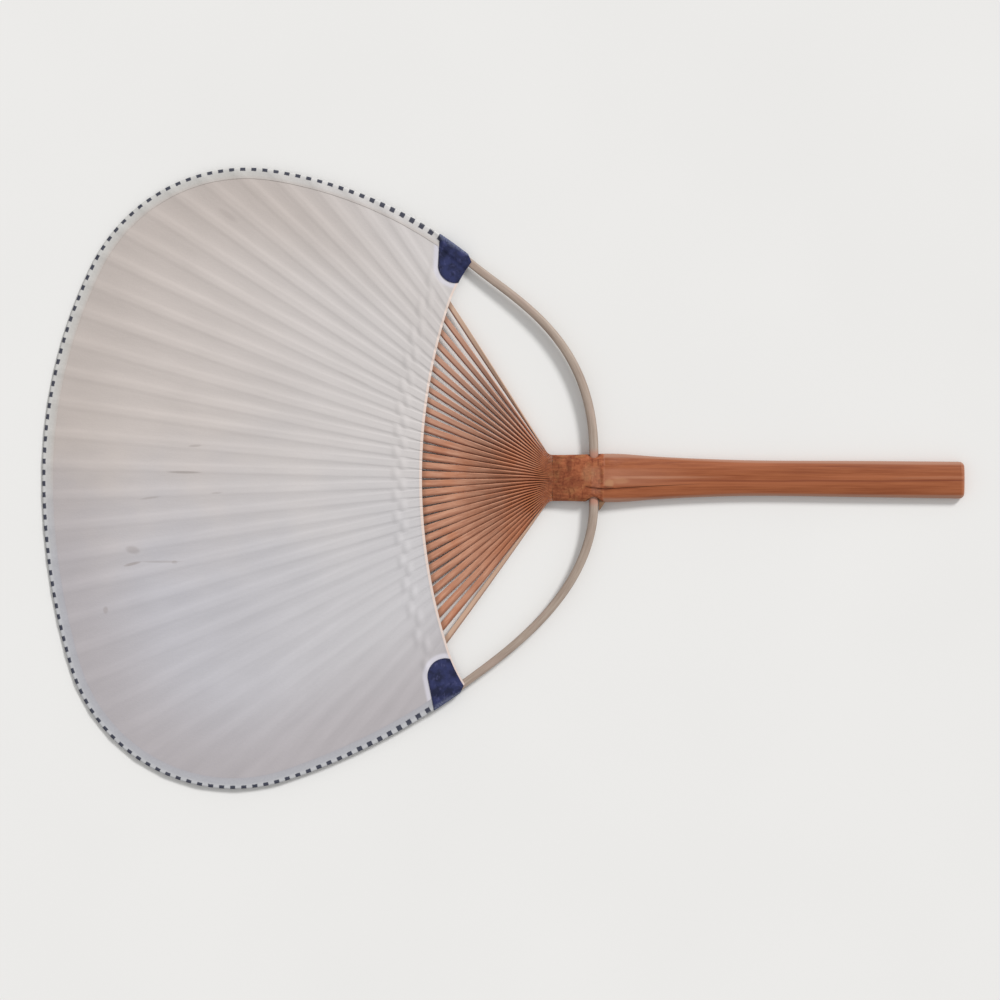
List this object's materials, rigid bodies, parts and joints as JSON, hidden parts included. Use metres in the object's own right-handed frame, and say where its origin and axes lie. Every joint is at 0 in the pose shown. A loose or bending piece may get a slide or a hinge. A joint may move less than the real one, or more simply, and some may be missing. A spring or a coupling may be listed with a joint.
{
  "type": "round uchiwa fan",
  "caption": "Round flat hand fan of split bamboo with a flat handle, papered ribs, a bent bamboo bow, a checked rim strip and dark ear patches.",
  "frame": {"origin": "under the middle of the whole fan, on the surface that it lies on", "axes": "the fan lies on its back: +X to the free end of the handle, +Y to the ear that is uppermost in the picture, +Z out of the front paper"},
  "size_m": [0.37, 0.2493, 0.007],
  "materials": {
    "stained_bamboo": "satin, stained orange-brown, with the grain along the handle",
    "split_bamboo": "matte, split along the grain",
    "bare_bamboo": "satin, not stained",
    "thread": "cotton thread",
    "paper": "matte handmade paper, warm grey-white, a little smudged",
    "checked_paper": "matte white paper with small dark blue squares along the rim",
    "dark_paper": "matte dark blue paper"
  },
  "bodies": {
    "root": {"handle": "stained_bamboo", "ribs": "split_bamboo", "bow": "bare_bamboo", "bow_wedge": "bare_bamboo", "binding_thread": "thread", "front_paper": "paper", "back_paper": "paper", "rim_tape": "checked_paper", "upper_ear_patch": "dark_paper", "lower_ear_patch": "dark_paper"}
  },
  "joints": []
}
